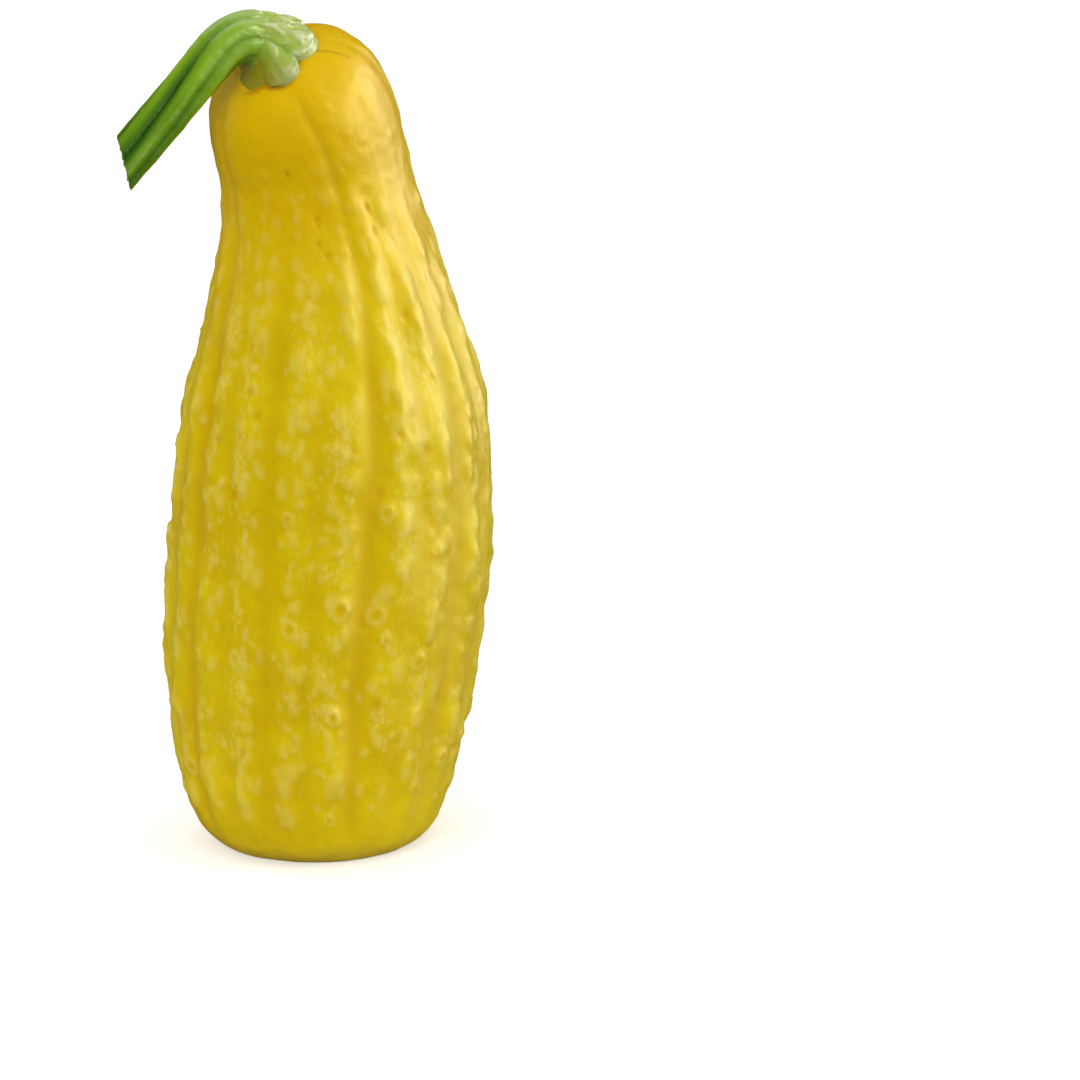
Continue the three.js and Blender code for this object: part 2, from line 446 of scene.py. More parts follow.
class Effects:
    """Builds each shared effect once and places it in a material with its own values."""

    def __init__(self) -> None:
        """Builds the four groups."""
        self.groups = {Effect.PATCHES: self.build_patches(), Effect.PORES: self.build_pores(),
                       Effect.FIBRES: self.build_fibres(), Effect.SPECKS: self.build_specks()}

    def build_patches(self) -> Tree:
        """Two tones in soft uneven patches, with a finer mottle in them."""
        tree, graph, entry, leave = new_group(
            Effect.PATCHES.value,
            {"Vector": ("Vector", None), "Dark": ("Color", (0, 0, 0, 1)), "Light": ("Color", (1, 1, 1, 1)),
             "Scale": ("Float", 40.0), "Contrast": ("Float", 0.25)},
            {"Color": "Color", "Mask": "Float"})
        mottle_scale, broad_share, middle = 5.3, 0.7, 0.5
        broad = graph.add("TexNoise", Vector=entry["Vector"], Scale=entry["Scale"], Detail=3.0,
                          Roughness=0.55)
        mottle = graph.add("TexNoise", Vector=entry["Vector"], Detail=2.0,
                           Scale=graph.times(entry["Scale"], mottle_scale))
        summed = graph.plus(graph.times(broad.outputs[0], broad_share),
                            graph.times(mottle.outputs[0], 1 - broad_share))
        mask = graph.add("MapRange", {"interpolation_type": "SMOOTHSTEP"}, Value=summed,
                         From_Min=graph.minus(middle, entry["Contrast"]),
                         From_Max=graph.plus(middle, entry["Contrast"])).outputs[0]
        graph.feed(leave, Color=graph.blend(mask, entry["Dark"], entry["Light"]), Mask=mask)
        return tree

    def build_pores(self) -> Tree:
        """Small dots a fraction of a millimetre across, as a mask and as a height."""
        tree, graph, entry, leave = new_group(
            Effect.PORES.value,
            {"Vector": ("Vector", None), "Scale": ("Float", 700.0), "Size": ("Float", 0.35)},
            MASK_AND_HEIGHT)
        pore_depth = 0.5
        cells = graph.add("TexVoronoi", Vector=entry["Vector"], Scale=entry["Scale"], Randomness=1.0)
        near = graph.minus(1.0, graph.over(cells.outputs["Distance"], entry["Size"]), clamp=True)
        fuzz = graph.add("TexNoise", Vector=entry["Vector"], Scale=entry["Scale"], Detail=3.0)
        graph.feed(leave, Mask=near, Height=graph.minus(fuzz.outputs[0], graph.times(near, pore_depth)))
        return tree

    def build_fibres(self) -> Tree:
        """Fine uneven lines that run along a piece."""
        tree, graph, entry, leave = new_group(
            Effect.FIBRES.value,
            {"Vector": ("Vector", None), "Across": ("Float", 6.0), "Along": ("Float", 0.4)},
            MASK_AND_HEIGHT)
        parts = graph.add("SeparateXYZ", Vector=entry["Vector"]).outputs
        drawn = graph.row("CombineXYZ", graph.times(parts["X"], entry["Across"]),
                          graph.times(parts["Y"], entry["Across"]), graph.times(parts["Z"], entry["Along"]))
        lines = graph.add("TexNoise", Vector=drawn, Scale=1.0, Detail=4.0, Roughness=0.6).outputs[0]
        mask = graph.add("MapRange", Value=lines, From_Min=0.35, From_Max=0.68)
        graph.feed(leave, Mask=mask.outputs[0], Height=lines)
        return tree

    def build_specks(self) -> Tree:
        """Small ragged flecks of uneven size, more of them where the cover is high."""
        tree, graph, entry, leave = new_group(
            Effect.SPECKS.value,
            {"Vector": ("Vector", None), "Scale": ("Float", 4.0), "Cover": ("Float", 0.5),
             "Ragged": ("Float", 0.3)},
            MASK_AND_HEIGHT)
        shake_scale, least, spread, slope = 1.3, 0.18, 0.62, 1.5
        scales_and_strengths = ((1.0, 1.0), (1.9, 0.9))
        shake = graph.add("TexNoise", Vector=entry["Vector"], Detail=3.0,
                          Scale=graph.times(entry["Scale"], shake_scale))
        centred = graph.row("VectorMath", shake.outputs["Color"], (0.5, 0.5, 0.5), operation="SUBTRACT")
        push = graph.add("VectorMath", {"operation": "SCALE"}, Vector=centred,
                         Scale=graph.over(entry["Ragged"], entry["Scale"])).outputs[0]
        moved = graph.row("VectorMath", entry["Vector"], push, operation="ADD")
        total = 0.0
        for finer, strength in scales_and_strengths:
            cells = graph.add("TexVoronoi", Vector=moved, Scale=graph.times(entry["Scale"], finer),
                              Randomness=1.0)
            luck = graph.row("SeparateXYZ", cells.outputs["Color"])
            reach = graph.times(entry["Cover"], graph.plus(least, graph.times(luck, spread)))
            inside = graph.minus(reach, cells.outputs["Distance"])
            fleck = graph.times(graph.times(inside, slope, clamp=True), strength)
            total = graph.row("Math", total, fleck, operation="MAXIMUM")
        graph.feed(leave, Mask=total, Height=total)
        return tree

    def place(self, graph: Graph, effect: Effect, **values: object) -> Sockets:
        """Puts an effect into a material.

        Args:
            graph: the material's graph.
            effect: which effect.
            values: a value or socket for each input.

        Returns:
            The outputs of the placed group.
        """
        return graph.add("Group", {"node_tree": self.groups[effect]}, **values).outputs


def start_material(name: str) -> tuple[Material, Graph, Node]:
    """Makes an empty material with one shader.

    Args:
        name: the finish's name.

    Returns:
        The material, its graph and its shader node.
    """
    material = bpy.data.materials.new(name)
    material.use_nodes = True
    material.node_tree.nodes.clear()
    graph = Graph(material.node_tree)
    shader = graph.add("BsdfPrincipled")
    graph.add("OutputMaterial", Surface=shader.outputs[0])
    return material, graph, shader


@dataclass(frozen=True)
class RindFinish:
    """Waxy yellow rind: golden near the stem, deep in the grooves (partly painted shade), pale on the warts
    (partly painted highlight).
    """

    deep: Colour = srgb(213, 178, 0)
    bright: Colour = srgb(226, 200, 0)
    neck: Colour = srgb(231, 184, 0)
    lit: Colour = srgb(232, 208, 0)
    # Deeper gold in the grooves: partly the rind's own tone, partly painted shade in the recesses.
    groove: Colour = srgb(208, 168, 0)
    # Pale tone of the warts and flecks; on the raised warts it is partly a painted highlight.
    wart: Colour = srgb(238, 216, 108)
    # Painted contact shade: an orange-brown line on the skin round the rim of the stem's foot.
    rim: Colour = srgb(168, 112, 10)
    pit: Colour = srgb(214, 162, 0)
    under: Colour = srgb(228, 204, 90)
    blemish: Colour = srgb(120, 78, 14)
    streak_share: float = 0.3
    groove_shade_share: float = 0.7
    wart_pale_highlight_share: float = 0.38
    fleck_share: float = 0.6
    fleck_length: float = 0.62
    roughness: tuple[float, float] = (0.37, 0.5)
    groove_dulls: float = 0.3
    lump_height: float = 0.8
    pore_height: float = 0.18
    fleck_height: float = 0.5
    bump: float = 0.00035

    def material(self, effects: Effects) -> Material:
        """Builds the rind's material.

        Args:
            effects: the shared effects.

        Returns:
            The material.
        """
        material, graph, shader = start_material("waxy_yellow_rind")
        place, flow, groove = graph.object_places(), graph.kept("flow", "Vector"), graph.kept("groove")
        patches = effects.place(graph, Effect.PATCHES, Vector=place, Dark=self.deep, Light=self.bright,
                                Scale=42.0, Contrast=0.2)
        streaks = effects.place(graph, Effect.FIBRES, Vector=flow, Across=7.0, Along=0.5)
        flecks = self.flecks(graph, effects, flow)
        colour = graph.layers(patches["Color"], (
            (graph.kept("neck"), self.neck),
            (graph.times(streaks["Mask"], self.streak_share), self.lit),
            # Grooves and low spots of the skin darkened: painted shade over the rind's own deeper gold.
            (graph.times(groove, self.groove_shade_share, clamp=True), self.groove),
            # Pale raised warts: their own paler tone plus a painted highlight on the raised skin.
            (graph.times(graph.kept("raised"), self.wart_pale_highlight_share, clamp=True), self.wart),
            (graph.times(flecks["Mask"], self.fleck_share), self.wart),
            (graph.kept("pit"), self.pit),
            (graph.kept("under"), self.under),
            # Painted contact shade round the stem's foot.
            (graph.kept("rim"), self.rim),
            (graph.kept("blemish"), self.blemish)))
        rough = graph.plus(graph.spread(patches["Mask"], *self.roughness),
                           graph.times(groove, self.groove_dulls), clamp=True)
        lumps = graph.add("TexNoise", Vector=place, Scale=360.0, Detail=3.0, Roughness=0.5)
        pores = effects.place(graph, Effect.PORES, Vector=place, Scale=1500.0, Size=0.5)
        height = graph.plus(graph.times(lumps.outputs[0], self.lump_height),
                            graph.times(pores["Height"], self.pore_height))
        height = graph.plus(height, graph.times(flecks["Height"], self.fleck_height))
        graph.feed(shader, Base_Color=colour, Roughness=rough, Normal=graph.bump(0.6, self.bump, height),
                   Specular_IOR_Level=0.25, Specular_Tint=(1.0, 0.93, 0.42), Subsurface_Weight=0.04,
                   Subsurface_Radius=(1.0, 0.8, 0.1), Subsurface_Scale=0.0015)
        return material

    def flecks(self, graph: Graph, effects: Effects, flow: Socket) -> Sockets:
        """Adds the pale flecks that gather along the ribs.

        Args:
            graph: the material's graph.
            effects: the shared effects.
            flow: the direction along the rind.

        Returns:
            The outputs of the placed effect.
        """
        drawn = graph.row("VectorMath", flow, (1.0, 1.0, self.fleck_length), operation="MULTIPLY")
        gather = graph.add("TexNoise", Vector=drawn, Scale=1.1, Detail=2.0)
        cluster = graph.add("MapRange", Value=gather.outputs[0], From_Min=0.34, From_Max=0.6,
                            To_Min=0.4, To_Max=1.25)
        cover = graph.times(cluster.outputs[0], graph.kept("crest"))
        return effects.place(graph, Effect.SPECKS, Vector=drawn, Scale=3.3, Cover=cover, Ragged=0.85)


@dataclass(frozen=True)
class StemFinish:
    """Fleshy green, pale and knobbly at the toes, with painted shade between the rolls and painted highlights
    on them.
    """

    # Paler near the foot and darker green towards the cut: partly the stem's own tone, partly a painted sheen
    # near the foot and painted shade low on the arm.
    near: Colour = srgb(148, 184, 60)
    middle: Colour = srgb(132, 178, 6)
    far: Colour = srgb(60, 109, 0)
    # Painted shade in the creases between the rolls.
    crease: Colour = srgb(34, 88, 0)
    # Painted highlight along the tops of the rolls.
    ridge_highlight: Colour = srgb(162, 198, 48)
    # Pale green of the toes: their own tone, plus a painted highlight where it follows the roll tops.
    pale: Colour = srgb(180, 196, 92)
    crust: Colour = srgb(222, 222, 182)
    # Painted sheen on the upward-facing top of the bend.
    sheen: Colour = srgb(186, 214, 150)
    # Olive on the toes under the arch: partly the foot's own tone, partly painted shade under the bend.
    olive: Colour = srgb(150, 134, 20)
    cut: Colour = srgb(150, 172, 80)
    patch_share: float = 0.22
    ridge_highlight_share: float = 0.5
    least_crust: float = 0.2
    roughness: tuple[float, float] = (0.3, 0.46)
    pore_height: float = 0.35
    bump: float = 0.0003

    def material(self, effects: Effects) -> Material:
        """Builds the stem's material.

        Args:
            effects: the shared effects.

        Returns:
            The material.
        """
        material, graph, shader = start_material("fleshy_green_stem")
        place, flow, arm = graph.object_places(), graph.kept("flow", "Vector"), graph.kept("arm")
        first = graph.add("MapRange", Value=arm, From_Min=0.05, From_Max=0.42)
        second = graph.add("MapRange", Value=arm, From_Min=0.36, From_Max=1.0)
        patches = effects.place(graph, Effect.PATCHES, Vector=place, Dark=self.far, Light=self.middle,
                                Scale=60.0, Contrast=0.3)
        fibres = effects.place(graph, Effect.FIBRES, Vector=flow, Across=5.0, Along=0.3)
        mottle = effects.place(graph, Effect.PATCHES, Vector=place, Scale=330.0, Contrast=0.12)
        crusty = graph.plus(self.least_crust, graph.times(mottle["Mask"], 1 - self.least_crust))
        # Green from the foot to the cut: partly own tone, partly painted sheen near the foot and painted
        # shade low on the arm.
        colour = graph.layers(self.near, (
            (first.outputs[0], self.middle),
            (second.outputs[0], self.far),
            (self.patch_share, patches["Color"]),
            # Painted highlight along the roll tops, broken by the fibres.
            (graph.times(fibres["Mask"], graph.times(graph.kept("ridge_highlight"), self.ridge_highlight_share)), self.ridge_highlight),
            # Painted shade in the creases between the rolls.
            (graph.kept("crease"), self.crease),
            (graph.kept("pale"), self.pale),
            (graph.times(graph.kept("crust"), crusty), self.crust),
            # Painted sheen on the top of the bend.
            (graph.kept("sheen"), self.sheen),
            # Olive under the arch: partly own tone, partly painted shade.
            (graph.kept("olive"), self.olive),
            (graph.kept("cut"), self.cut)))
        pores = effects.place(graph, Effect.PORES, Vector=place, Scale=1100.0, Size=0.45)
        height = graph.plus(fibres["Height"], graph.times(pores["Height"], self.pore_height))
        graph.feed(shader, Base_Color=colour, Roughness=graph.spread(fibres["Mask"], *self.roughness),
                   Normal=graph.bump(0.6, self.bump, height), Specular_IOR_Level=0.3,
                   Subsurface_Weight=0.1, Subsurface_Radius=(0.5, 1.0, 0.2), Subsurface_Scale=0.002)
        return material


@dataclass(frozen=True)
class CorkFinish:
    """Dry brown cork, cracked and rough, with paler raised crusts."""

    deep: Colour = srgb(58, 38, 22)
    bright: Colour = srgb(132, 98, 58)
    crack: Colour = srgb(24, 15, 9)
    roughness: tuple[float, float] = (0.75, 0.95)
    crack_width: float = 0.12
    bump: float = 0.0006

    def material(self, effects: Effects) -> Material:
        """Builds the scar's material.

        Args:
            effects: the shared effects.

        Returns:
            The material.
        """
        material, graph, shader = start_material("dry_brown_cork")
        place = graph.object_places()
        patches = effects.place(graph, Effect.PATCHES, Vector=place, Dark=self.deep, Light=self.bright,
                                Scale=260.0, Contrast=0.16)
        cells = graph.add("TexVoronoi", {"feature": "DISTANCE_TO_EDGE"}, Vector=place, Scale=620.0)
        crack = graph.add("MapRange", Value=cells.outputs["Distance"], From_Max=self.crack_width,
                          To_Min=1.0, To_Max=0.0).outputs[0]
        pores = effects.place(graph, Effect.PORES, Vector=place, Scale=1500.0, Size=0.5)
        graph.feed(shader, Base_Color=graph.blend(crack, patches["Color"], self.crack),
                   Roughness=graph.spread(patches["Mask"], *self.roughness),
                   Normal=graph.bump(0.8, self.bump, graph.minus(pores["Height"], crack)))
        return material


@dataclass(frozen=True)
class Axis:
    """The line that the fruit's rings stand on: it sways, and near the top bends left and forward."""

    sway: float = 3.4
    period: float = 250.0
    sway_from: float = 76.0
    left_from: float = 184.0
    left_length: float = 31.0
    front_from: float = 158.0
    front_length: float = 36.0
    level_until: tuple[float, float] = (5.0, 45.0)

    def point(self, h: Array) -> Array:
        """Where the line is at each height.

        Args:
            h: heights along the line.

        Returns:
            One place a height.
        """
        left = np.maximum(0.0, h - self.left_from) / self.left_length
        front = np.maximum(0.0, h - self.front_from) / self.front_length
        sway = self.sway * np.sin(FULL_TURN * (h - self.sway_from) / self.period)
        return np.stack([sway - left**3, -(front**3), h], axis=-1)

    def ring_point(self, h: Array, radius: Array, angle: Array) -> Array:
        """Places on rings that are square to the line, or level low down.

        Args:
            h: heights along the line.
            radius: distances from it.
            angle: turns round it.

        Returns:
            One place a row.
        """
        slope = self.point(h + 0.5) - self.point(h - 0.5)
        share = smooth(*self.level_until, h)[:, None]
        along = unit(mix(np.array((0.0, 0.0, 1.0)), slope, share))
        side = unit(np.array((1.0, 0.0, 0.0)) - along * along[:, :1])
        back = np.cross(along, side)
        return (self.point(h) + side * (radius * np.cos(angle))[:, None]
                + back * (radius * np.sin(angle))[:, None])


@dataclass(frozen=True)
class Outline:
    """The fruit's outline as heights and radii, from the dimple out, round and up."""

    points: tuple[tuple[float, float], ...] = (
        (5.2, 0), (4.7, 6), (2.6, 13), (0.2, 19.5), (-0.7, 25), (0.6, 31), (5.5, 36.6), (13, 40),
        (22, 42.4), (37, 45.4), (56, 48), (78, 49.7), (100, 49.5), (122, 48.6), (141, 46.4), (158, 41.6),
        (172, 38), (187, 33.8), (201, 30.4), (213, 28.9), (223, 28.9), (232, 28.2), (240, 25.6),
        (246, 19.6), (249, 10.5), (249.5, 0))
    samples: int = 6000

    def stations(self, share: Array) -> tuple[Array, Array, Array, Array]:
        """The height, radius and outward direction at shares of the way along.

        Args:
            share: 0 in the dimple to 1 at the top.

        Returns:
            Heights, radii, and the height and radius parts of the outward direction.
        """
        knots = np.array((self.points[0], *self.points, self.points[-1]), dtype=float)
        line, run, _, _ = curve(knots, self.samples)
        along = unit(np.gradient(line, run, axis=0))
        at = share * run[-1]
        h, r = np.interp(at, run, line[:, 0]), np.interp(at, run, line[:, 1])
        return h, r, -np.interp(at, run, along[:, 1]), np.interp(at, run, along[:, 0])


@dataclass(frozen=True)
class Groove:
    """A row of grooves: how many, the turn of the first in degrees, depth, and share left on the neck."""

    count: int
    first: float
    depth: float
    neck: float


@dataclass(frozen=True)
class Wart:
    """One wart: where it is, its half width and half length, its height, and whether it is a ring."""

    h: float
    angle: float
    width: float
    length: float
    height: float
    ring: bool


@dataclass
class Fruit:
    """The yellow fruit: ribs, lumps, warts and pits on a leaning bottle shape."""

    axis: Axis = field(default_factory=Axis)
    outline: Outline = field(default_factory=Outline)
    finish: RindFinish = field(default_factory=RindFinish)
    grooves: tuple[Groove, ...] = (
        Groove(5, -73, 1.5, 0.5), Groove(5, -37, 1.2, 0.12), Groove(10, -55, 0.85, 0.0))
    ribs: int = 20
    groove_width: float = 0.085
    crest_width: float = 0.12
    fine_share: float = 0.4
    rib_crown: float = 0.5
    wander: float = 0.035
    wander_length: float = 31.0
    wander_turns: int = 3
    neck_rise: Span = (150, 215)
    rib_start: Span = (-1, 20)
    rib_end: Span = (240, 249.5)
    body_start: Span = (8, 40)
    crest_end: Span = (165, 226)
    lump_end: Span = (170, 225)
    wart_ease: Span = (120, 225)
    wart_seed: int = 20417
    wart_count: int = 1500
    wart_range: Span = (16.0, 224.0)
    wart_limit: float = 1.6
    broad_count: int = 360
    broaden: float = 1.6
    neck_ease: float = 0.2
    wart_width: float = 3.1
    least_wart: float = 0.38
    wart_fall: float = 0.6
    wart_lengths: Span = (1.1, 2.3)
    wart_heights: Span = (0.75, 1.3)
    small_height: float = 0.55
    neck_height: float = 0.35
    broad_lift: float = 0.75
    small_lift: float = 0.5
    low_lean: float = 1.15
    rib_reach: float = 0.42
    ring_width: float = 4.2
    ring_length: float = 1.15
    ring_height: float = 0.8
    ring_rise: float = 5.2
    ring_floor: float = 0.1
    ring_hollow: Span = (0.05, 0.35)
    ring_pale_highlight: float = 7.0
    wart_pale_highlight: float = 0.9
    pale_fall: float = 1.6
    ring_share: float = 0.05
    ring_below: float = 130.0
    ring_warts: tuple[Place, ...] = (
        (85.6, -81.3, 3.9), (78.1, -99.0, 3.4), (84.2, -68.6, 3.6), (114.8, -68.4, 2.6), (66.0, -122.0, 3.0))
    marks: tuple[tuple[Place, float], ...] = (
        ((-8.3, -33.1, 214.4), 0.9), ((24.0, 30.0, 196.0), 1.2), ((-31.0, 36.0, 120.0), 1.4))
    mark_share: float = 0.4
    scratch: tuple[Place, ...] = ((0.5, -22.6, 250.0), (5.6, -22.6, 249.2), (10.2, -21.9, 247.8))
    scratch_reach: Span = (0.2, 1.0)
    scratch_share: float = 0.42
    near_foot: float = 204.5
    contact_shade_reach: Span = (0.9, 2.1)
    contact_shade_share: float = 0.75
    pit_seed: int = 811
    pit_count: int = 90
    pit_range: Span = (24, 205)
    pit_sizes: Span = (1.0, 1.9)
    pit_lengths: Span = (1.0, 1.7)
    pit_depth: float = 0.55
    dimple_edge: Span = (0.02, 0.12)
    crease_count: int = 10
    crease_depth: float = 0.35
    crease_turn: float = 0.4
    crease_width: float = 0.9
    crease_start: Span = (2, 8)
    slow_skin: Waves = Waves(0.16, 5, 26, (9, 22))
    quick_skin: Waves = Waves(0.07, 6, 30, (3.5, 8))
    skin_start: Span = (0.03, 0.16)
    wander_start: Span = (10, 60)
    pit_start: Span = (10, 30)
    groove_power: float = 1.8
    low_spot_shade: float = 0.2
    neck_line_start: Span = (190, 225)
    neck_line_share: float = 0.8
    neck_line_full: float = 0.4
    gold_rise: Span = (140, 245)
    pale_until: Span = (175, 225)
    pale_loss: float = 0.7
    pit_share: float = 0.65
    hollow_share: float = 0.3
    pale_under: Span = (0.05, 0.15)
    under_share: float = 0.75
    segments: int = 340
    rings: int = 290

    def rib_relief(self, h: Array, angle: Array) -> tuple[Array, Array, Array]:
        """How far ribs stand out, how deep in a groove and how near a crest each place is.

        Args:
            h: heights along the axis.
            angle: turns round it.

        Returns:
            The relief in millimetres, the groove mask and the crest mask.
        """
        on_neck = smooth(*self.neck_rise, h)
        cut = np.zeros_like(h)
        for groove in self.grooves:
            depth = groove.depth * mix(1.0, groove.neck, on_neck)
            cut += depth * bells(angle, groove.count, groove.first, self.groove_width)
        cut *= 1 - self.neck_ease * on_neck
        fade = window(self.rib_start, self.rib_end, h)
        broad, _, fine = self.grooves
        off = 1 - bells(angle, 2 * broad.count, broad.first, self.crest_width)
        crest = off * (1 - self.fine_share * bells(angle, fine.count, fine.first, self.groove_width))
        crest = crest * window(self.body_start, self.crest_end, h)
        mask = np.clip(cut / broad.depth, 0, 1)
        return fade * (self.rib_crown * (1 - on_neck) - cut), fade * mask, crest

    def lump_relief(self, h: Array, angle: Array) -> Array:
        """Soft lumps, as slow waves along and round the fruit.

        Args:
            h: heights along the axis.
            angle: turns round it.

        Returns:
            The relief in millimetres.
        """
        slow = np.sin(h / 13 + 5 * angle) * np.sin(7 * angle - h / 21)
        quick = np.sin(h / 7.5 + 11 * angle)
        return window(self.body_start, self.lump_end, h) * (0.5 * slow + 0.35 * quick)

    def warts(self) -> list[Wart]:
        """The warts, the largest first, on the ribs and more of them low on the fruit."""
        draw = Draws(self.wart_seed)
        first = math.radians(self.grooves[0].first)
        found = []
        for i in range(self.wart_count):
            rib = math.floor(draw.next() * self.ribs)
            across = (draw.next() + draw.next() - 1) * self.rib_reach
            h = mix(*self.wart_range, draw.next() ** self.low_lean)
            size = mix(1.0, self.least_wart, (i / self.wart_count) ** self.wart_fall)
            long = mix(*self.wart_lengths, draw.next())
            ring = draw.next() < self.ring_share and h < self.ring_below
            width = (self.ring_width if ring else self.wart_width) * size
            low = 1 - float(smooth(*self.wart_ease, h))
            height = mix(*self.wart_heights, draw.next()) * mix(self.small_height, 1.0, size)
            height *= mix(self.neck_height, 1.0, low)
            angle = first + (rib + 0.5 + across) * FULL_TURN / self.ribs
            found.append(Wart(h, angle, width, width * (self.ring_length if ring else long), height, ring))
        for h, turn, width in self.ring_warts:
            found.append(Wart(h, math.radians(turn), width, width * self.ring_length, self.ring_height, True))
        return found

    def wart_relief(self, h: Array, radius: Array, angle: Array) -> tuple[Array, Array, Array]:
        """How far the warts stand out, how pale they are, and where the middles of ring warts are.

        Args:
            h: heights along the axis.
            radius: radii there.
            angle: turns.

        Returns:
            The relief in millimetres, the pale mask, partly painted highlight, and the mask of ring middles.
        """
        total, pale, hollow = np.zeros_like(h), np.zeros_like(h), np.zeros_like(h)
        for i, wart in enumerate(self.warts()):
            broad = self.broaden if i < self.broad_count and not wart.ring else 1.0
            near = np.flatnonzero(np.abs(h - wart.h) < wart.length * broad)
            across = turn_from(angle[near], wart.angle) * radius[near] / wart.width
            far = across**2 + ((h[near] - wart.h) / wart.length) ** 2
            near, far = near[far < broad**2], far[far < broad**2]
            # The pale mask is partly the warts' own tone, partly a painted highlight on their raised tops and
            # ring edges.
            if wart.ring:
                total[near] += wart.height * (1 - far) ** 2 * (self.ring_rise * far + self.ring_floor)
                hollow[near] = np.maximum(hollow[near], 1 - smooth(*self.ring_hollow, far))
                pale[near] = np.maximum(pale[near], np.clip(self.ring_pale_highlight * far * (1 - far) ** 2, 0, 1))
            else:
                lift = self.broad_lift if broad > 1 else self.small_lift
                total[near] += wart.height * lift * (1 - far / broad**2) ** 2
                faded = np.clip(1 - self.pale_fall * far, 0, 1)
                pale[near] = np.maximum(pale[near], self.wart_pale_highlight * faded)
        return self.wart_limit * np.tanh(total / self.wart_limit), pale, hollow

    def pit_relief(self, h: Array, radius: Array, angle: Array) -> Array:
        """Small round pits, as a mask from 0 to 1.

        Args:
            h: heights along the axis.
            radius: radii there.
            angle: turns.

        Returns:
            The mask.
        """
        draw = Draws(self.pit_seed)
        mask = np.zeros_like(h)
        for _ in range(self.pit_count):
            at, turn = draw.between(*self.pit_range), draw.between(-math.pi, math.pi)
            size, long = draw.between(*self.pit_sizes), draw.between(*self.pit_lengths)
            near = np.flatnonzero(np.abs(h - at) < size * long)
            across = turn_from(angle[near], turn) * radius[near] / size
            far = across**2 + ((h[near] - at) / size / long) ** 2
            mask[near] = np.maximum(mask[near], np.clip(1 - far, 0, 1))
        return mask

    def build(self, effects: Effects, foot_rim: Array) -> Object:
        """Makes the fruit's piece.

        Args:
            effects: the shared effects.
            foot_rim: places round the rim of the stem's foot.

        Returns:
            The finished object.
        """
        piece, share, turn = shaped_sphere("squash_fruit", self.segments, self.rings)
        h, r, out_h, out_r = self.outline.stations(share)
        wander = self.wander * np.sin(h / self.wander_length + self.wander_turns * turn)
        angle = turn + wander * smooth(*self.wander_start, h)
        base = self.axis.ring_point(h, r, angle)
        ribs, groove, crest = self.rib_relief(h, turn)
        warts, pale, hollow = self.wart_relief(h, r, turn)
        pits = self.pit_relief(h, r, turn) * smooth(*self.pit_start, h)
        on_skin = smooth(*self.skin_start, share)
        uneven = self.slow_skin.at(base) + self.quick_skin.at(base)
        inside = (1 - smooth(*self.dimple_edge, share)) * smooth(*self.crease_start, r)
        off = turn_from(self.crease_count * turn, self.crease_turn)
        creases = inside * np.exp(-((off / self.crease_width) ** 2))
        relief = (ribs + self.lump_relief(h, turn) + warts - self.pit_depth * pits + uneven * on_skin
                  - self.crease_depth * creases)
        put_points(piece, self.axis.ring_point(h + relief * out_h, r + relief * out_r, angle))
        # Groove mask, with lines along the neck's shallow grooves: painted shade, partly the rind's own
        # deeper gold.
        narrow = np.clip(groove / self.neck_line_full, 0, 1) ** 2
        neck_groove_shade = self.neck_line_share * smooth(*self.neck_line_start, h) * narrow
        lines = np.maximum(groove**self.groove_power, neck_groove_shade)
        store(piece, {
            # Low spots of the uneven skin are darkened as painted shade.
            "groove": np.clip(lines + self.low_spot_shade * np.clip(-uneven * 3, 0, 1) * on_skin, 0, 1),
            # Raised mask: pale warts, partly a painted highlight.
            "raised": pale * (1 - hollow) * (1 - self.pale_loss * smooth(*self.pale_until, h)),
            "crest": crest,
            "pit": np.clip(self.pit_share * pits + self.hollow_share * hollow, 0, 1),
            "neck": smooth(*self.gold_rise, h),
            "under": self.under_share * (1 - smooth(*self.pale_under, share)),
            "blemish": self.blemishes(base),
            # Painted contact shade where the stem's toes meet the fruit.
            "rim": self.foot_contact_shade(base, h, foot_rim),
            "flow": np.stack([np.cos(angle) * r, np.sin(angle) * r, h], axis=1) * FLOW_SCALE})
        return finish_mesh(piece, "fruit", self.finish.material(effects))

    def blemishes(self, base: Array) -> Array:
        """A few small brown marks on the neck and body.

        Args:
            base: the places of the skin.

        Returns:
            The mask.
        """
        mask = np.zeros(len(base))
        for place, size in self.marks:
            gap = np.linalg.norm((base - np.array(place)) * np.array((1.0, 0.3, 0.5)), axis=1)
            mask = np.maximum(mask, self.mark_share * (1 - smooth(0.2 * size, size, gap)))
        for a, b in zip(self.scratch, self.scratch[1:]):
            start, way = np.array(a), np.array(b) - np.array(a)
            share = np.clip((base - start) @ way / (way @ way), 0, 1)
            gap = np.linalg.norm(base - start - share[:, None] * way, axis=1)
            mask = np.maximum(mask, self.scratch_share * (1 - smooth(*self.scratch_reach, gap)))
        return mask

    def foot_contact_shade(self, base: Array, h: Array, foot_rim: Array) -> Array:
        """How close the skin is to the rim of the stem's foot, as a mask of painted contact shade.

        Args:
            base: the places of the skin.
            h: heights along the axis.
            foot_rim: places round the rim.

        Returns:
            The mask of painted shade.
        """
        mask = np.zeros(len(base))
        high = np.flatnonzero(h > self.near_foot)
        gap = np.min(np.linalg.norm(base[high, None, :] - foot_rim[None, :, :], axis=2), axis=1)
        mask[high] = self.contact_shade_share * (1 - smooth(*self.contact_shade_reach, gap))
        return mask


@dataclass(frozen=True)
class Toe:
    """One toe of the stem.

    It has its turn in degrees, how far it and the notch after it reach, how deep the crease after it is,
    how far up it is pale, and how crusty it is.
    """

    turn: float
    reach: float
    notch: float
    crease: float
    pale: float
    crust: float


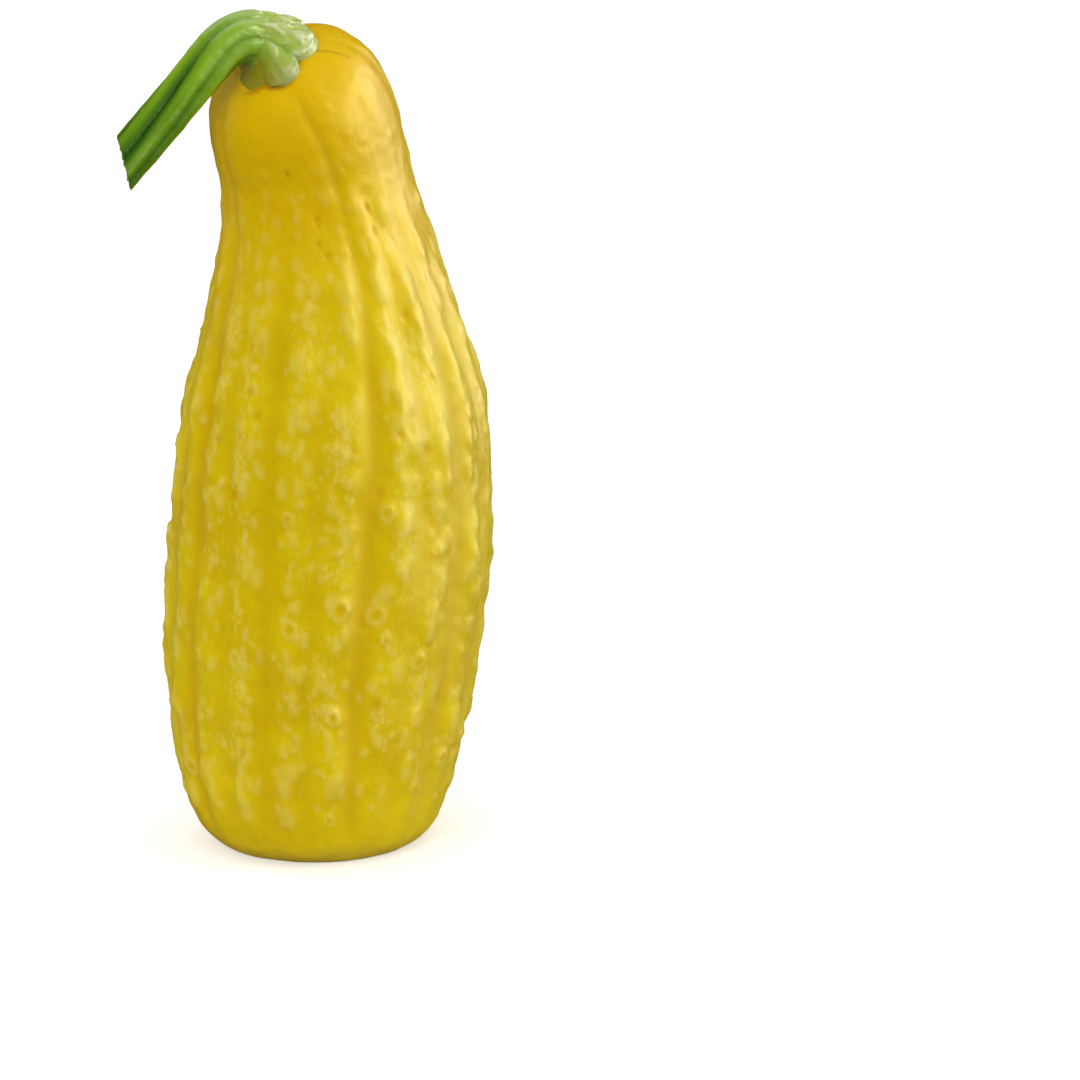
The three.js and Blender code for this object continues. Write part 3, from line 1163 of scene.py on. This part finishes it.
@dataclass(frozen=True)
class Roll:
    """The rolls round the stem: how round, how far the foot reaches, and the share of the radius kept."""

    turn: Array
    round: Array
    far: Array
    full: Array


@dataclass(frozen=True)
class StemFrame:
    """Places along the stem's middle, the directions there, and what changes along it."""

    at: Array
    along: Array
    side: Array
    back: Array
    radius: Array
    twist: Array
    slant: Array


class Stretch(IntEnum):
    """The stretches of the stem, from the lower pole of its ball to the upper one."""

    BOTTOM = 0
    WALL = 1
    FOOT = 2
    BEND = 3
    CUT = 4


@dataclass
class Stem:
    """The green stem: six rolls that spread as toes on the fruit, bend over and end in a slanting cut."""

    finish: StemFinish = field(default_factory=StemFinish)
    route: tuple[tuple[float, ...], ...] = (
        (-12.6, -16.6, 249.3, 8), (-14.6, -18.3, 252, 7.8), (-18.6, -20.3, 253.9, 7.6),
        (-23.3, -22.7, 253.7, 7.5), (-27.6, -25, 251.2, 7.4), (-31.4, -27, 247.2, 7.3),
        (-43.5, -32.4, 233, 7.1), (-56.2, -37.9, 218.3, 6.9))
    toes: tuple[Toe, ...] = (
        Toe(50, 12.2, 10.6, 0.6, 18.0, 1.0), Toe(112, 12, 10.6, 0.8, 12.0, 0.8),
        Toe(172, 13.4, 12.6, 0.6, 7.0, 0.4), Toe(230, 16.6, 13.6, 0.6, 4.0, 0.2),
        Toe(286, 16.8, 11, 0.7, 8.0, 0.7), Toe(338, 14, 10.6, 1.1, 18.0, 1.0))
    roll_depth: float = 0.24
    twist: float = math.radians(-34)
    cut_slant: float = 1.1
    cut_turn: float = 0.3
    cut_reach: float = 17.0
    cut_rim: Span = (0.0, 0.1)
    cut_edge: Span = (0.02, 0.12)
    fray: Waves = Waves(0.22, 41, 20, (0.9, 2.6))
    fray_length: float = 1.5
    crust_lumps: tuple[Waves, ...] = (Waves(0.5, 77, 34, (1.8, 3.8)), Waves(0.35, 78, 24, (4, 8)))
    crust_edge: Span = (-0.55, 0.8)
    crust_height: float = 0.95
    crust_share: float = 0.75
    crust_rise: Span = (0.1, 0.9)
    crust_rim: Span = (0.3, 2.8)
    pale_fall: Span = (0.25, 1.0)
    pale_share: float = 0.75
    pale_round: Span = (0.1, 0.8)
    sheen_share: float = 0.5
    sheen_up: Span = (0.55, 0.95)
    skin: tuple[Waves, ...] = (Waves(0.05, 9, 22, (2.5, 6)), Waves(0.08, 10, 18, (8, 18)))
    least_crease_shade: float = 0.35
    crease_shade_rise: Span = (0.12, 0.5)
    ridge_highlight_rise: Span = (0.7, 1.0)
    most_olive: float = 0.9
    olive_side: Span = (-0.42, 0.62)
    olive_end: Span = (0.6, 1.0)
    sheen_start: Span = (6, 12)
    sheen_end: Span = (22, 46)
    toe_rise: float = 1.2
    seat_curve: float = 120.0
    foot_sink: float = 3.2
    foot_length: float = 8.5
    outer_side: float = math.radians(20)
    segments: int = 168
    rows: tuple[int, ...] = (6, 5, 64, 150, 16)
    samples: int = 900
    foot_flow: float = 9.0

    def line(self) -> tuple[Array, Array, Array]:
        """The stem's middle line, finely stepped: places, radii and the length up to each."""
        knots = np.array(self.route)[:, :3]
        knots = np.concatenate([[2 * knots[0] - knots[1]], knots, [2 * knots[-1] - knots[-2]]])
        line, run, step, t = curve(knots, self.samples)
        radii = np.array(self.route)[:, 3]
        return line, mix(radii[step], radii[step + 1], smooth(0, 1, t)), run

    def frames(self, mm: Array) -> StemFrame:
        """What the stem's middle is like at lengths along it.

        Args:
            mm: lengths from the seat.

        Returns:
            One row a length.
        """
        line, radius, run = self.line()
        along = unit(np.gradient(line, run, axis=0))
        side = np.empty_like(along)
        carried = np.array((1.0, 0.0, 0.0))
        for i, way in enumerate(along):
            carried = carried - way * float(carried @ way)
            carried = carried / np.linalg.norm(carried)
            side[i] = carried
        def at(rows: Array) -> Array:
            """Rows of the fine line read at the lengths asked for."""
            return np.stack([np.interp(mm, run, rows[:, k]) for k in range(3)], axis=1)
        ahead, beside = unit(at(along)), unit(at(side))
        total = run[-1]
        return StemFrame(at(line), ahead, beside, np.cross(ahead, beside), np.interp(mm, run, radius),
                         self.twist * smooth(0.15, 1, mm / total),
                         self.cut_slant * smooth(total - self.cut_reach, total, mm))

    def rolls(self, turn: Array) -> Roll:
        """What the rolls are like at each turn.

        Args:
            turn: turns round the stem, before it twists.

        Returns:
            The rolls, one row a turn.
        """
        round_, far, full = np.zeros_like(turn), np.zeros_like(turn), np.ones_like(turn)
        count = len(self.toes)
        for i, toe in enumerate(self.toes):
            last = self.toes[i - 1]
            before = last.turn - (360 if i == 0 else 0)
            after = self.toes[(i + 1) % count].turn + (360 if i + 1 == count else 0)
            low, high = math.radians((toe.turn + before) / 2), math.radians((toe.turn + after) / 2)
            share = ((turn - low) % FULL_TURN) / (high - low)
            inside = share <= 1
            share = share[inside]
            swell = np.sin(math.pi * share) ** 0.6
            round_[inside] = swell
            far[inside] = mix(mix(last.notch, toe.notch, share), toe.reach, swell)
            full[inside] = 1 - self.roll_depth * mix(last.crease, toe.crease, share) * (1 - swell)
        return Roll(turn, round_, far, full)

    def round_toes(self, turn: Array, values: list[float]) -> Array:
        """Blends one value a toe round the stem.

        Args:
            turn: turns round the stem, before it twists.
            values: the value at the middle of each toe.

        Returns:
            The value at each turn.
        """
        turns = [math.radians(toe.turn) for toe in self.toes]
        return np.interp(turn % FULL_TURN, turns, values, period=FULL_TURN)

    def rim(self) -> Array:
        """Places round the rim of the foot."""
        return self.tips(self.rolls(np.linspace(0, FULL_TURN, 180, endpoint=False)))[0]

    def build(self, effects: Effects) -> Object:
        """Makes the stem's piece.

        Args:
            effects: the shared effects.

        Returns:
            The finished object.
        """
        total = sum(self.rows)
        marks = np.cumsum((0, *self.rows))
        piece, share, turn = shaped_sphere("squash_stem", self.segments, total)
        row = share * total
        past = [np.clip((row - mark) / rows, 0, 1) for mark, rows in zip(marks, self.rows)]
        into_foot, into_cut = past[Stretch.FOOT], past[Stretch.CUT]
        length = float(self.line()[2][-1])
        roll = self.rolls(turn)
        mm = mix(self.foot_length, length, past[Stretch.BEND])
        tips, seat_up = self.tips(roll)
        wall = tips - seat_up * (self.foot_sink * (1 - past[Stretch.WALL]))[:, None]
        seat = np.array(self.route[0][:3]) - seat_up * self.foot_sink
        points = self.swept(mm, roll)
        for above, lower in ((Stretch.BEND, self.foot(tips, seat_up, roll, into_foot)), (Stretch.FOOT, wall),
                             (Stretch.WALL, mix(seat, wall, past[Stretch.BOTTOM][:, None]))):
            points = np.where((row < marks[above])[:, None], lower, points)
        frayed = self.fray.at(points) * smooth(length - self.fray_length, length, mm)
        points = points + self.frames(np.array([length])).along[0] * frayed[:, None]
        points = self.cut_face(points, into_cut)
        put_points(piece, points)
        climb = self.foot_length * into_foot + mm - self.foot_length
        self.crusts(piece, points, roll, climb, row, marks)
        around = np.where(row > marks[Stretch.BEND], self.frames(mm).radius, self.foot_flow)
        above_foot = smooth(0.5 * self.foot_length, 1.5 * self.foot_length, climb)
        body = above_foot * (1 - smooth(*self.cut_rim, into_cut))
        deep = np.clip((1 - roll.full) / self.roll_depth / np.maximum(1 - roll.round, 0.01), 0, 1)
        bent = (mm - self.foot_length) / (length - self.foot_length)
        dark = mix(self.least_crease_shade, 1.0, smooth(*self.crease_shade_rise, bent))
        # The inner side, under the bent arm: olive there is partly painted shade.
        inner = smooth(*self.olive_side, -np.cos(turn - self.outer_side))
        olive = inner * (1 - smooth(*self.olive_end, into_foot)) * (row < marks[Stretch.BEND])
        store(piece, {
            "flow": np.stack([np.cos(turn) * around, np.sin(turn) * around, climb], axis=1) * FLOW_SCALE,
            # Crease mask: painted shade between the rolls, darker further along the arm.
            "crease": (1 - roll.round**2) * body * deep**2 * dark,
            # Painted highlight along the roll tops.
            "ridge_highlight": smooth(*self.ridge_highlight_rise, roll.round) * body,
            "arm": bent,
            "olive": self.most_olive * olive,
            "cut": smooth(*self.cut_edge, into_cut)})
        return finish_mesh(piece, "stem", self.finish.material(effects))

    def swept(self, mm: Array, roll: Roll) -> Array:
        """Places on the skin of the bent part.

        Args:
            mm: lengths from the seat.
            roll: the rolls there.

        Returns:
            One place a row.
        """
        f = self.frames(mm)
        radius = (f.radius * roll.full)[:, None]
        spun = (roll.turn + f.twist)[:, None]
        at = f.at + f.side * radius * np.cos(spun) + f.back * radius * np.sin(spun)
        drop = f.at[:, 2] - at[:, 2] + self.cut_turn * (f.at[:, 1] - at[:, 1])
        return at + f.along * (f.slant * drop)[:, None]

    def tips(self, roll: Roll) -> tuple[Array, Array]:
        """The rim of the foot, a little above the fruit, and the direction out of the fruit there.

        Args:
            roll: the rolls round the seat.

        Returns:
            One place a row, and the seat's upward direction.
        """
        f = self.frames(np.zeros(1))
        rise = self.toe_rise - roll.far**2 / self.seat_curve
        at = (f.at + f.side * (roll.far * np.cos(roll.turn))[:, None]
              + f.back * (roll.far * np.sin(roll.turn))[:, None] + f.along * rise[:, None])
        return at, f.along[0]

    def foot(self, tips: Array, seat_up: Array, roll: Roll, t: Array) -> Array:
        """Places on the skin between the rim of the foot and the bent part.

        Args:
            tips: the rim.
            seat_up: the upward direction of the seat.
            roll: the rolls there.
            t: share of the way from the rim to the bent part.

        Returns:
            One place a row.
        """
        top = self.swept(np.full_like(t, self.foot_length), roll)
        on = self.frames(np.array([self.foot_length])).along[0]
        outside = (1 + np.cos(roll.turn - self.outer_side)) / 2
        reaching = on * (self.foot_length * mix(0.1, 1.0, outside))[:, None]
        leaving = seat_up * self.foot_length * 0.6
        t, left = t[:, None], (1 - t)[:, None]
        return (tips * left**2 * (1 + 2 * t) + leaving * t * left**2
                + top * t**2 * (3 - 2 * t) - reaching * t**2 * left)

    def cut_face(self, points: Array, into_cut: Array) -> Array:
        """Draws the last rows in over the cut, with a low rim and a sunken middle.

        Args:
            points: the places so far.
            into_cut: 0 at the rim to 1 in the middle of the cut.

        Returns:
            The places with the cut closed.
        """
        end = self.frames(np.array([1e3]))
        middle = end.at[0]
        over = into_cut > 0
        depth = 0.5 * smooth(0.1, 0.3, into_cut) + 0.5 * smooth(0.65, 0.95, into_cut) - 0.15 * into_cut
        flat = mix(points, middle, into_cut[:, None]) - end.along[0] * depth[:, None]
        return np.where(over[:, None], flat, points)

    def crusts(self, piece: Object, points: Array, roll: Roll, climb: Array, row: Array,
               marks: Array) -> None:
        """Raises the knobbly crusts on the toes and notes where the stem is pale, crusty and painted with
        sheen.

        Args:
            piece: the stem's object.
            points: its places.
            roll: the rolls there.
            climb: lengths up from the rim of the foot.
            row: rows from the lower pole.
            marks: the rows at which each stretch starts.
        """
        pale_until = self.round_toes(roll.turn, [toe.pale for toe in self.toes])
        crusty = self.round_toes(roll.turn, [toe.crust for toe in self.toes])
        low = 1 - smooth(*self.pale_fall, climb / pale_until)
        drawn = np.stack([12 * np.cos(roll.turn), 12 * np.sin(roll.turn), 0.9 * climb], axis=1)
        knobbly = smooth(*self.crust_edge, sum(lumps.at(drawn) for lumps in self.crust_lumps)) * low * crusty
        uneven = sum(waves.at(points) for waves in self.skin)
        keep = window((marks[Stretch.WALL], marks[Stretch.FOOT] + 3),
                      (marks[Stretch.CUT] - 3, marks[Stretch.CUT]), row)
        lift = (self.crust_height * knobbly + uneven) * keep
        put_points(piece, points + read_rows(piece, "normal") * lift[:, None])
        edge = (1 - smooth(*self.crust_rim, climb)) * mix(0.4, 1.0, crusty)
        # Paler on the roll tops: a painted highlight over the toes' own pale tone.
        roll_top_highlight = 0.3 + 0.7 * smooth(*self.pale_round, roll.round)
        covered = np.maximum(smooth(*self.crust_rise, knobbly), edge)
        # Upward-facing skin at the bend takes a painted sheen.
        upward = smooth(*self.sheen_up, read_rows(piece, "normal")[:, 2])
        store(piece, {
            "pale": self.pale_share * low * roll_top_highlight * mix(0.5, 1.0, crusty),
            "crust": self.crust_share * covered * (row >= marks[Stretch.WALL]),
            "sheen": self.sheen_share * upward * window(self.sheen_start, self.sheen_end, climb)})


@dataclass
class BlossomScar:
    """The dry scar that the flower left, sunk in the dimple under the fruit."""

    finish: CorkFinish = field(default_factory=CorkFinish)
    axis: Axis = field(default_factory=Axis)
    dimple: float = 5.2
    radius: float = 8.5
    height: float = 3.6
    edge_at: float = 0.62
    back_at: float = 0.82
    crumbs: Waves = Waves(0.22, 31, 24, (1.2, 4))
    segments: int = 96
    rings: int = 64

    def build(self, effects: Effects) -> Object:
        """Makes the scar's piece.

        Args:
            effects: the shared effects.

        Returns:
            The finished object.
        """
        piece, share, turn = shaped_sphere("squash_blossom_scar", self.segments, self.rings)
        low = self.dimple - self.height
        out = np.clip(share / self.edge_at, 0, 1)
        over = np.clip((share - self.edge_at) / (self.back_at - self.edge_at), 0, 1)
        back = np.clip((share - self.back_at) / (1 - self.back_at), 0, 1)
        ragged = 1 + 0.05 * np.sin(5 * turn + 0.6) + 0.03 * np.sin(13 * turn) + 0.02 * np.sin(29 * turn + 1)
        radius = self.radius * ragged * np.where(share < self.edge_at, out**0.8, 1 - 0.12 * over) * (1 - back)
        bowl = 0.7 * smooth(0.0, 0.3, out) - 0.75 * smooth(0.3, 0.62, out) + 1.2 * smooth(0.72, 1.0, out)
        z = low + 0.35 + bowl + over * 1.5 + back * 0.3
        middle = self.axis.point(np.array([self.dimple]))[0]
        points = np.stack([middle[0] + radius * np.cos(turn), middle[1] + radius * np.sin(turn), z], axis=1)
        wrinkles = 0.12 * np.sin(17 * turn + 2 * out) * smooth(0.2, 0.6, out)
        points[:, 2] += (self.crumbs.at(points) + wrinkles) * (1 - over)
        put_points(piece, points)
        return finish_mesh(piece, "blossom_scar", self.finish.material(effects))


class Side(Enum):
    """Where a softbox stands."""

    RIGHT = "right"
    LEFT = "left"
    ABOVE = "above"
    FRONT = "front"
    SHEEN = "sheen"


@dataclass(frozen=True)
class Softbox:
    """A large soft lamp: its side, place and size in metres, power in watts, and what it does.

    It is seen in shiny skin when it is mirrored, and brightens the skin itself when it shines.
    """

    side: Side
    place: tuple[float, float, float]
    size: tuple[float, float]
    power: float
    mirrored: bool = True
    shines: bool = True

    def build(self) -> None:
        """Adds the lamp, turned to the middle of the squash."""
        lamp = bpy.data.lights.new(f"softbox_{self.side.value}", "AREA")
        lamp.shape = "RECTANGLE"
        lamp.size, lamp.size_y = self.size
        lamp.energy = self.power
        holder = bpy.data.objects.new(lamp.name, lamp)
        bpy.context.collection.objects.link(holder)
        holder.location = self.place
        holder.visible_glossy = self.mirrored
        holder.visible_diffuse = self.shines
        aim = Vector((0.0, 0.0, AIM_HEIGHT)) - Vector(self.place)
        holder.rotation_euler = aim.to_track_quat("-Z", "Y").to_euler()


@dataclass
class Studio:
    """The plain pale floor, the soft light and the camera."""

    lens: float = 128.0
    distance: float = 1200.0
    tilt: float = math.radians(12)
    across: float = 67.0
    aim_height: float = 96.0
    sensor: float = 36.0
    floor_size: float = 16.0
    floor_fade: Span = (0.12, 0.42)
    floor_grey: float = 0.66
    floor_lift: float = 0.26
    near_glow: float = 0.42
    far_glow: float = 0.12
    sky_light: float = 0.34
    softboxes: tuple[Softbox, ...] = (
        Softbox(Side.RIGHT, (1.35, -0.15, 0.26), (0.6, 0.8), 8.3, False),
        Softbox(Side.SHEEN, (1.35, -0.05, 0.65), (1.9, 1.3), 84.0, True, False),
        Softbox(Side.ABOVE, (0.1, -0.1, 1.7), (1.8, 1.8), 9.5, False),
        Softbox(Side.LEFT, (-1.3, 0.75, 0.5), (1.0, 1.4), 6.0, False),
        Softbox(Side.FRONT, (-0.6, -1.9, 0.7), (1.6, 1.2), 21.6, False))

    def build(self) -> None:
        """Builds the studio."""
        self.camera()
        self.floor()
        self.sky()
        for softbox in self.softboxes:
            softbox.build()
        bpy.context.scene.view_settings.view_transform = "Standard"

    def camera(self) -> None:
        """Sets the camera at the photograph's angle."""
        data = bpy.data.cameras.new("view")
        data.lens = self.lens
        data.sensor_width = self.sensor
        data.clip_end = 50.0
        holder = bpy.data.objects.new("view", data)
        bpy.context.collection.objects.link(holder)
        back, up = self.distance * math.cos(self.tilt), self.distance * math.sin(self.tilt)
        place = (np.array((self.across, -back, self.aim_height + up)) + FRUIT_AT) * MM
        holder.location = tuple(place)
        holder.rotation_euler = (math.pi / 2 - self.tilt, 0.0, 0.0)
        bpy.context.scene.camera = holder

    def floor(self) -> None:
        """Lays the floor, which takes soft shadows near the squash and is plain white away from it."""
        bpy.ops.object.select_all(action="DESELECT")
        bpy.ops.mesh.primitive_plane_add(size=self.floor_size)
        floor = bpy.context.object
        floor.name = "floor"
        material = bpy.data.materials.new("pale_floor")
        material.use_nodes = True
        material.node_tree.nodes.clear()
        graph = Graph(material.node_tree)
        path = graph.add("LightPath").outputs
        seen, white = path["Is Camera Ray"], (1.0, 1.0, 1.0)
        gap = graph.add("VectorMath", {"operation": "LENGTH"}, Vector=graph.object_places()).outputs["Value"]
        away = graph.add("MapRange", {"interpolation_type": "SMOOTHSTEP"}, Value=gap,
                         From_Min=self.floor_fade[0], From_Max=self.floor_fade[1]).outputs[0]
        grey = graph.plus(self.floor_grey, graph.times(seen, self.floor_lift))
        shade = graph.add("BsdfDiffuse", Color=grey).outputs[0]
        lift = graph.add("Emission", Color=white, Strength=graph.times(seen, self.near_glow)).outputs[0]
        glow = graph.add("Emission", Color=white, Strength=graph.plus(self.far_glow, seen)).outputs[0]
        dim = graph.add("BsdfDiffuse", Color=(0.04, 0.04, 0.04)).outputs[0]
        mixed = graph.row("MixShader", away, graph.row("AddShader", shade, lift), glow)
        mirrored = graph.row("MixShader", path["Is Glossy Ray"], mixed, dim)
        graph.add("OutputMaterial", Surface=mirrored)
        floor.data.materials.append(material)

    def sky(self) -> None:
        """Surrounds the scene with white that lights it only softly."""
        world = bpy.data.worlds.new("white_room")
        bpy.context.scene.world = world
        world.use_nodes = True
        world.node_tree.nodes.clear()
        graph = Graph(world.node_tree)
        seen = graph.add("LightPath").outputs["Is Camera Ray"]
        white = graph.add("Background", Color=(1.0, 1.0, 1.0), Strength=1.0).outputs[0]
        soft = graph.add("Background", Color=(1.0, 1.0, 1.0), Strength=self.sky_light).outputs[0]
        graph.add("OutputWorld", Surface=graph.row("MixShader", seen, soft, white))
        world.cycles_visibility.glossy = False


def main() -> None:
    """Builds the studio and the three pieces of the squash, and notes their sizes."""
    logging.basicConfig(level=logging.INFO, format="%(message)s")
    Studio().build()
    effects = Effects()
    stem = Stem()
    for piece in (Fruit().build(effects, stem.rim()), stem.build(effects), BlossomScar().build(effects)):
        count = sum(len(face.vertices) - 2 for face in piece.data.polygons)
        LOG.info("%s: %d triangles", piece.name, count)


if __name__ == "__main__":
    main()
